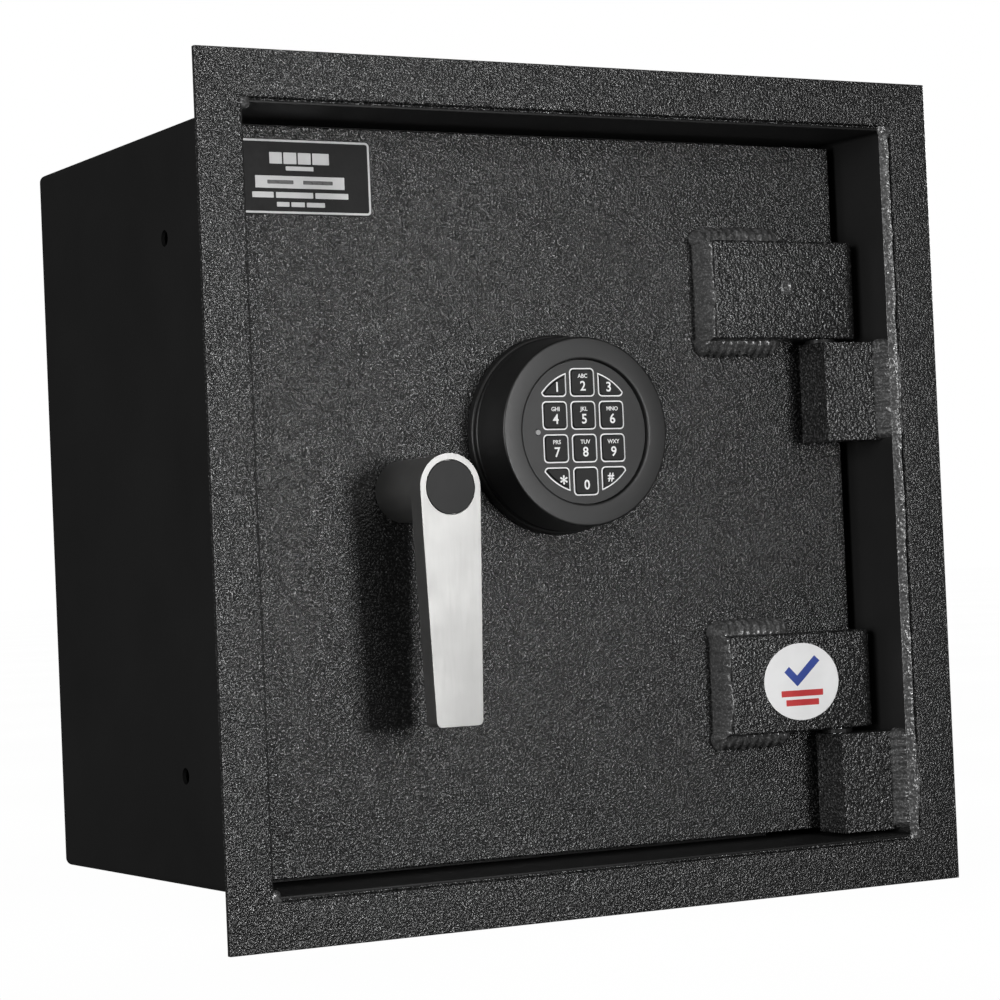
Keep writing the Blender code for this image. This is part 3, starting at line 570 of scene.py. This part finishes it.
def door_block_welds():
    """A bead round the left end of each door block, and part of the way along its top and foot."""
    out = Vector((0, -1, 0))
    left, up, down = Vector((-1, 0, 0)), Vector((0, 0, 1)), Vector((0, 0, -1))
    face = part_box("door_plate")[0].y
    for level, reach, seed in (("upper", 50 * MM, 1.0), ("lower", 46 * MM, 7.0)):
        low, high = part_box(f"door_hinge_block_{level}")
        x, top, foot = low.x, high.z, low.z
        inset = 0.15 * MM
        deep = low.y - face
        over = (8.0 * MM, 9.0 * MM)
        beside = (1.4 * MM, -0.92 * deep)
        under = (7.6 * MM, 9.0 * MM)
        path = [
            (Vector((x + reach, face, top - inset)), up, out, over),
            (Vector((x + 1 * MM, face, top - inset)), up, out, over),
            (Vector((x + inset, face, top - 1 * MM)), left, out, beside),
            (Vector((x + inset, face, foot + 1 * MM)), left, out, beside),
            (Vector((x + 1 * MM, face, foot + inset)), down, out, under),
            (Vector((x + reach - 2 * MM, face, foot + inset)), down, out, under),
        ]
        ends = (7 * MM, 7 * MM)
        weld_bead(
            f"door_weld_{level}",
            path,
            "door",
            seed,
            pitch=4.6 * MM,
            ripple=1.9 * MM,
            taper=ends,
            rough=0.6 * MM,
        )


def frame_block_welds():
    """A bead down the front of each frame block, from its face to the flange's opening."""
    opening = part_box("flange_right")[0]
    toward_door = Vector((-1, 0, 0))
    for level, seed in (("upper", 13.0), ("lower", 21.0)):
        low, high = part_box(f"frame_hinge_block_{level}")
        corner = Vector((high.x, low.y + 0.1 * MM, 0))
        edge = Vector((opening.x, opening.y + 1.6 * MM, 0))
        toward_room = (edge - corner).normalized()
        legs = (3.8 * MM, (edge - corner).length)
        path = [
            (corner + Vector((0, 0, high.z + 1.5 * MM)), toward_door, toward_room, legs),
            (corner + Vector((0, 0, low.z + 0.5 * MM)), toward_door, toward_room, legs),
        ]
        weld_bead(
            f"frame_weld_{level}",
            path,
            "safe_body",
            seed,
            pitch=4.4 * MM,
            ripple=0.8 * MM,
            taper=(3 * MM, 3 * MM),
            rough=0.9 * MM,
        )


def seam_weld():
    """The bead that joins the body to the flange, down the hinge side of the opening."""
    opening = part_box("flange_right")[0]
    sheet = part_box("side_right")[0]
    corner = Vector((sheet.x + 0.3 * MM, sheet.y + 0.2 * MM, 0))
    edge = Vector((opening.x - 0.9 * MM, opening.y + 1.7 * MM, 0))
    toward_room = (edge - corner).normalized()
    legs = (1.1 * MM, (edge - corner).length)
    half = sheet.z + 4 * MM
    path = [
        (corner + Vector((0, 0, -half)), Vector((-1, 0, 0)), toward_room, legs),
        (corner + Vector((0, 0, half)), Vector((-1, 0, 0)), toward_room, legs),
    ]
    weld_bead("seam_weld", path, "safe_body", 31.0, pitch=2.6 * MM, ripple=0.4 * MM)


def corner_welds():
    """Ground-down weld at each corner of the flange's opening."""
    low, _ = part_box("flange_right")
    body_low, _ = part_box("side_right")
    half = low.x - 1.2 * MM
    y = body_low.y - 0.4 * MM
    for i, (sx, sz) in enumerate(((1, 1), (-1, 1), (-1, -1), (1, -1))):
        blob = bmesh.new()
        bmesh.ops.create_uvsphere(blob, u_segments=28, v_segments=18, radius=1.0)
        for vert in blob.verts:
            way = vert.co.copy()
            rough = 1 + 0.22 * noise.noise(way * 1.6 + Vector((i * 3.1, 0, 0)))
            along = 4.6 * MM if abs(way.x) > abs(way.z) else 4.2 * MM
            vert.co = Vector((way.x * along, way.y * 2.1 * MM, way.z * along)) * rough
            vert.co += Vector((sx * half, y, sz * half))
        add(f"corner_weld_{i}", blob, WELD_COAT_PAINTED_LIGHTER, "safe_body")


def block_plug():
    """The ground plug weld in the face of the upper door block."""
    low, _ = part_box("door_hinge_block_upper")
    centre = Vector((130.1 * MM, low.y, 101.0 * MM))
    profile = (
        (3.9, 0.05),
        (3.5, -0.05),
        (3.0, -0.34),
        (2.5, -0.42),
        (2.0, -0.2),
        (1.2, 0.02),
        (0.5, -0.1),
    )
    steps = 40
    loops = []
    for radius, y in profile:
        loop = []
        for i in range(steps):
            a = 2 * math.pi * i / steps
            wave = 1 + 0.07 * noise.noise(Vector((math.cos(a) * 2, math.sin(a) * 2, radius)))
            reach = radius * MM * wave
            loop.append(centre + Vector((reach * math.cos(a), y * MM, reach * math.sin(a))))
        loops.append(loop)
    loops.insert(0, [point + Vector((0, 0.6 * MM, 0)) for point in loops[0]])
    add("block_plug", loops_to_mesh(loops), WELD_COAT_PAINTED_LIGHTER, "door")


# ---------------------------------------------------------------- keypad


def lathe(name, profile, centre, finish, steps=128):
    """A ring about an axis along Y: a closed profile of (radius, y)."""
    loops = []
    for radius, y in profile:
        loop = []
        for i in range(steps):
            a = 2 * math.pi * i / steps
            loop.append((centre[0] + radius * math.cos(a), y, centre[1] + radius * math.sin(a)))
        loops.append(loop)
    piece = add(name, loops_to_mesh(loops, closed_along=True), finish, "door")
    sharpen(piece, 28)
    return piece


def rounded_profile(corners, steps=5):
    """Round the corners of a closed (radius, y) profile: corners are (radius, y, rounding)."""
    points = []
    count = len(corners)
    for i, (r, y, rounding) in enumerate(corners):
        here = Vector((r, y))
        if rounding <= 0:
            points.append((r, y))
            continue
        before = Vector(corners[i - 1][:2]) - here
        after = Vector(corners[(i + 1) % count][:2]) - here
        cut = min(rounding, before.length * 0.45, after.length * 0.45)
        a = here + before.normalized() * cut
        b = here + after.normalized() * cut
        for j in range(steps + 1):
            t = j / steps
            points.append(tuple((1 - t) ** 2 * a + 2 * t * (1 - t) * here + t**2 * b))
    return points


def keypad_shells():
    """The keypad's base ring and bezel, turned; gives their centre as (x, z)."""
    base_low, base_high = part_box("keypad_base")
    house_low, house_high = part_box("keypad_housing")
    centre = ((house_low.x + house_high.x) / 2, (house_low.z + house_high.z) / 2)
    radius = (base_high.x - base_low.x) / 2
    base = rounded_profile(
        (
            (36.0 * MM, base_low.y, 0.2 * MM),
            (radius, base_low.y, 1.6 * MM),
            (radius, base_high.y, 0.2 * MM),
            (36.0 * MM, base_high.y, 0.2 * MM),
        )
    )
    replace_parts(lathe("keypad_base_ring", base, centre, HOUSING), "keypad_base")
    front, back = house_low.y, house_high.y
    skirt = (house_high.x - house_low.x) / 2
    rim = skirt - 1.8 * MM
    face = 35.3 * MM
    ledge = 15.6 * MM
    shell = rounded_profile(
        (
            (face, front + 0.3 * MM, 0.3 * MM),
            (face + 0.8 * MM, front, 0.4 * MM),
            (rim - 0.2 * MM, front, 1.7 * MM),
            (rim, front + 2.4 * MM, 1.0 * MM),
            (skirt - 0.5 * MM, back - 2.2 * MM, 0.8 * MM),
            (skirt, back - 1.6 * MM, 0.3 * MM),
            (skirt, back, 0.2 * MM),
            (skirt - 2.6 * MM, back, 0.2 * MM),
            (rim - 2.6 * MM, ledge + 1.9 * MM, 0.2 * MM),
            (33.0 * MM, ledge + 1.9 * MM, 0.2 * MM),
            (33.0 * MM, ledge, 0.2 * MM),
            (face, ledge, 0.2 * MM),
        )
    )
    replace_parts(lathe("keypad_bezel", shell, centre, HOUSING), "keypad_housing")
    return centre


def outline_ring(name, outer, inner, y, finish):
    """A thin printed line: the space between two outlines of equal (x, z) point counts."""
    shape = bmesh.new()
    rows = []
    for outline, depth in (
        (outer, y),
        (outer, y - PRINT_THICK),
        (inner, y - PRINT_THICK),
        (inner, y),
    ):
        rows.append([shape.verts.new((x, depth, z)) for x, z in outline])
    count = len(outer)
    for i in range(4):
        near, far = rows[i], rows[(i + 1) % 4]
        for j in range(count):
            k = (j + 1) % count
            shape.faces.new((near[j], near[k], far[k], far[j]))
    add(name, shape, finish, "door", smooth=False)


def rounded_box_outline(cx, cz, half_x, half_z, radius, steps=5):
    outline = []
    for quarter, (sx, sz) in enumerate(((1, 1), (-1, 1), (-1, -1), (1, -1))):
        for i in range(steps + 1):
            a = math.pi / 2 * (quarter + i / steps)
            outline.append(
                (
                    cx + sx * (half_x - radius) + radius * math.cos(a),
                    cz + sz * (half_z - radius) + radius * math.sin(a),
                )
            )
    return outline


def pull_inside(outline, centre, reach):
    """Move the points of an outline that lie outside a circle onto it."""
    moved = []
    for x, z in outline:
        offset = Vector((x - centre[0], z - centre[1]))
        if offset.length > reach:
            offset = offset.normalized() * reach
        moved.append((centre[0] + offset.x, centre[1] + offset.y))
    return moved


def densify(outline, parts=4):
    """Split every side of an outline into equal parts."""
    dense = []
    for (x0, z0), (x1, z1) in zip(outline, outline[1:] + outline[:1]):
        for i in range(parts):
            t = i / parts
            dense.append((x0 + (x1 - x0) * t, z0 + (z1 - z0) * t))
    return dense


def text_piece(name, words, size, x, y, z, body):
    """White printed characters that face the room, centred on a point."""
    curve = bpy.data.curves.new(name, "FONT")
    curve.body = words
    curve.size = size
    curve.extrude = LETTER_THICK
    curve.align_x = "CENTER"
    curve.align_y = "CENTER"
    curve.offset = size * 0.016
    curve.resolution_u = 3
    source = bpy.data.objects.new(name + "_source", curve)
    bpy.context.collection.objects.link(source)
    bpy.context.view_layer.update()
    graph = bpy.context.evaluated_depsgraph_get()
    mesh = bpy.data.meshes.new_from_object(source.evaluated_get(graph))
    bpy.data.objects.remove(source)
    mesh.transform(
        Matrix.Translation((x, y - LETTER_THICK, z)) @ Matrix.Rotation(math.pi / 2, 4, "X")
    )
    mesh.materials.clear()
    add_mesh(name, mesh, INK, body, smooth=False)


# Each key's mark, and the small letters over it.
KEY_MARKS = {
    "1": ("1", ""),
    "2": ("2", "ABC"),
    "3": ("3", "DEF"),
    "4": ("4", "GHI"),
    "5": ("5", "JKL"),
    "6": ("6", "MNO"),
    "7": ("7", "PRS"),
    "8": ("8", "TUV"),
    "9": ("9", "WXY"),
    "star": ("*", ""),
    "0": ("0", ""),
    "hash": ("#", ""),
}


def key_prints(centre):
    """White outlines round the keys, and the marks on them."""
    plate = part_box("keypad_face")[0].y
    for index, name in enumerate(KEY_NAMES):
        column, row = index % 3, index // 3
        cx = centre[0] + (column - 1) * KEY_PITCH
        cz = centre[1] + (1.5 - row) * KEY_PITCH
        corner = column != 1 and row in (0, 3)
        outer = densify(rounded_box_outline(cx, cz, *KEY_LINE_OUTER))
        inner = densify(rounded_box_outline(cx, cz, *KEY_LINE_INNER))
        if corner:
            outer = pull_inside(outer, centre, KEY_RING_OUTER)
            inner = pull_inside(inner, centre, KEY_RING_INNER)
        outline_ring(f"key_outline_{name}", outer, inner, plate - PRINT_GAP, INK)
        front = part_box(f"key_{name}")[0].y - 0.01 * MM
        button = f"key_{name}_button"
        mark, letters = KEY_MARKS[name]
        inward = (1 - column) * 1.4 * MM if corner else 0.0
        inward += {"star": 1.6 * MM, "hash": -0.9 * MM}.get(name, 0.0)
        drop = (-2.5 * MM if row == 0 else 1.1 * MM) if corner else -2.0 * MM
        size = {"star": 9.6 * MM, "hash": 5.9 * MM}.get(name, 6.6 * MM)
        lower = {"star": 2.2 * MM, "hash": -0.7 * MM}.get(name, 0.0)
        level = cz + drop - lower
        text_piece(f"key_mark_{name}", mark, size, cx + inward, front, level, button)
        if letters and not corner:
            level = cz + 3.0 * MM
            text_piece(f"key_letters_{name}", letters, 2.8 * MM, cx, front, level, button)


# ---------------------------------------------------------------- label and sticker


def bar(name, x, z, half_x, half_z, y, finish):
    """A flat printed bar."""
    radius = min(0.3 * MM, half_x * 0.9, half_z * 0.9)
    flat_print(name, rounded_box_outline(x, z, half_x, half_z, radius, 3), y, finish)


def flat_print(name, outline, y, finish):
    """A flat print on the door, from an outline of (x, z) points."""
    shape = bmesh.new()
    near = [shape.verts.new((x, y, z)) for x, z in outline]
    far = [shape.verts.new((x, y - PRINT_THICK, z)) for x, z in outline]
    shape.faces.new(near)
    shape.faces.new(list(reversed(far)))
    for i in range(len(outline)):
        j = (i + 1) % len(outline)
        shape.faces.new((near[i], near[j], far[j], far[i]))
    add(name, shape, finish, "door", smooth=False)


def label_prints():
    """A border and rows of plain bars, in place of the lettering."""
    low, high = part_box("label_plate")
    y = low.y - PRINT_GAP
    cx, cz = (low.x + high.x) / 2, (low.z + high.z) / 2
    half_x, half_z = (high.x - low.x) / 2, (high.z - low.z) / 2
    outer = rounded_box_outline(cx, cz, half_x - 0.5 * MM, half_z - 0.5 * MM, 2.0 * MM)
    inner = rounded_box_outline(cx, cz, half_x - 1.5 * MM, half_z - 1.5 * MM, 1.2 * MM)
    outline_ring("label_border", outer, inner, y, LABEL_INK)
    rows = (
        ("title", 9.2, 2.7, ((-15.5, -9.0), (-8.2, -1.5), (-0.7, 6.0), (6.8, 15.5))),
        ("sub", 14.0, 1.0, ((-7.2, 7.2),)),
        ("plate", 20.5, 2.9, ((-23.2, 23.2),)),
        ("line", 26.6, 1.35, ((-25.0, -14.0), (-12.8, 6.5), (7.7, 25.0))),
        ("foot", 31.0, 1.1, ((-12.5, -6.0), (-5.0, 2.0), (3.0, 12.5))),
    )
    marks = ("plate_mark", 20.5, 0.9, ((-17.0, -3.5), (1.5, 17.0)))
    above = y - 0.07 * MM
    prints = [(*row, y, LABEL_INK) for row in rows] + [(*marks, above, SLEEVE)]
    for row, down, half, spans, level, ink in prints:
        for i, (start, end) in enumerate(spans):
            x = high.x + ((start + end) / 2 - 37.4) * MM
            wide = (end - start) / 2 * MM
            bar(f"label_{row}_{i}", x, high.z - down * MM, wide, half * MM, level, ink)


def sticker_prints():
    """A plain tick over two bars on the round sticker."""
    low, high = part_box("round_sticker")
    y = low.y - PRINT_GAP
    cx, cz = (low.x + high.x) / 2, (low.z + high.z) / 2
    rx, rz = (high.x - low.x) / 2, (high.z - low.z) / 2
    tick = ((-0.46, 0.26), (-0.12, -0.12), (0.5, 0.52), (0.36, 0.66), (-0.12, 0.16), (-0.33, 0.4))
    outline = [(cx + s * rx, cz + t * rz) for s, t in tick]
    flat_print("sticker_tick", outline, y, BLUE_INK)
    for name, level, half in (("upper", -0.3, 0.56), ("lower", -0.54, 0.44)):
        z = cz + level * rz
        bar(f"sticker_bar_{name}", cx, z, half * rx, 0.08 * rz, y, RED_INK)


# ---------------------------------------------------------------- stage


def floor_and_world():
    """A white floor that only the camera sees, and a white world that lights softly."""
    made, tree, shader, place = material("pale_floor")
    glow = tree.nodes.new("ShaderNodeEmission")
    cloud = ramp_of(tree, noise_of(tree, place, 2.0, 2.0), ((0.3, 0.985), (0.7, 1.0)))
    tree.links.new(cloud, glow.inputs["Color"])
    glow.inputs["Strength"].default_value = 1.0
    tree.links.new(glow.outputs[0], tree.nodes["Material Output"].inputs["Surface"])
    shape = bmesh.new()
    bmesh.ops.create_grid(shape, x_segments=4, y_segments=4, size=30.0)
    mesh = bpy.data.meshes.new("floor")
    shape.to_mesh(mesh)
    shape.free()
    mesh.materials.append(made)
    floor = bpy.data.objects.new("floor", mesh)
    bpy.context.collection.objects.link(floor)
    floor.location.z = cad_box[0][2] - 1.0 * MM
    floor.visible_diffuse = False
    floor.visible_glossy = False
    floor.visible_shadow = False
    world = bpy.data.worlds.new("studio")
    bpy.context.scene.world = world
    world.use_nodes = True
    tree = world.node_tree
    background = tree.nodes["Background"]
    rays = tree.nodes.new("ShaderNodeLightPath")
    strength = tree.nodes.new("ShaderNodeMapRange")
    strength.inputs["To Min"].default_value = WORLD_LIGHT
    strength.inputs["To Max"].default_value = 1.0
    tree.links.new(rays.outputs["Is Camera Ray"], strength.inputs["Value"])
    tree.links.new(strength.outputs["Result"], background.inputs["Strength"])
    background.inputs["Color"].default_value = (1.0, 1.0, 1.0, 1.0)


def softbox(name, place, aim, size, power, spread=180):
    light = bpy.data.lights.new(name, "AREA")
    light.shape = "RECTANGLE"
    light.size, light.size_y = size
    light.energy = power
    light.spread = math.radians(spread)
    lamp = bpy.data.objects.new(name, light)
    bpy.context.collection.objects.link(lamp)
    lamp.location = place
    lamp.rotation_euler = (Vector(aim) - Vector(place)).to_track_quat("-Z", "Y").to_euler()


def lights():
    softbox("key_light", (0.3, -1.40, 0.06), (-0.24, 0.04, 0.05), (0.24, 0.32), 2.05, 75)
    softbox("upper_card", (0.0, -1.35, 0.62), (0.0, 0.0, 0.0), (0.6, 0.3), 2.6)
    softbox("left_card", (-1.6, -0.62, 0.15), (-0.1, 0.0, 0.0), (0.6, 0.9), 22.0)
    softbox("top_card", (-0.4, -0.9, 1.3), (0.0, 0.0, 0.0), (0.8, 0.5), 1.0)
    softbox("back_card", (1.5, 1.3, 0.7), (0.0, 0.1, 0.0), (0.9, 0.9), 22.0)


def camera():
    yaw, pitch, roll = (math.radians(angle) for angle in (29.38, 1.352, 2.432))
    forward = Vector(
        (math.sin(yaw) * math.cos(pitch), math.cos(yaw) * math.cos(pitch), math.sin(pitch))
    )
    right = Vector((math.cos(yaw), -math.sin(yaw), 0))
    down = forward.cross(right)
    across = math.cos(roll) * right + math.sin(roll) * down
    below = -math.sin(roll) * right + math.cos(roll) * down
    data = bpy.data.cameras.new("camera")
    data.lens = 106.4
    data.sensor_width = 36.0
    data.shift_y = 0.0056
    data.clip_start = 0.01
    data.clip_end = 100.0
    body = bpy.data.objects.new("camera", data)
    bpy.context.collection.objects.link(body)
    place = Vector((-0.7364, -1.2107, -0.0392))
    turned = Matrix((across, -below, -forward)).transposed().to_4x4()
    body.matrix_world = Matrix.Translation(place) @ turned
    bpy.context.scene.camera = body


# ---------------------------------------------------------------- whole scene


def build():
    finish_cad_nodes()
    flange_frame()
    body_shell()
    door_block_welds()
    frame_block_welds()
    seam_weld()
    corner_welds()
    block_plug()
    key_prints(keypad_shells())
    label_prints()
    sticker_prints()
    floor_and_world()
    lights()
    camera()
    bpy.context.scene.view_settings.view_transform = "Standard"


build()
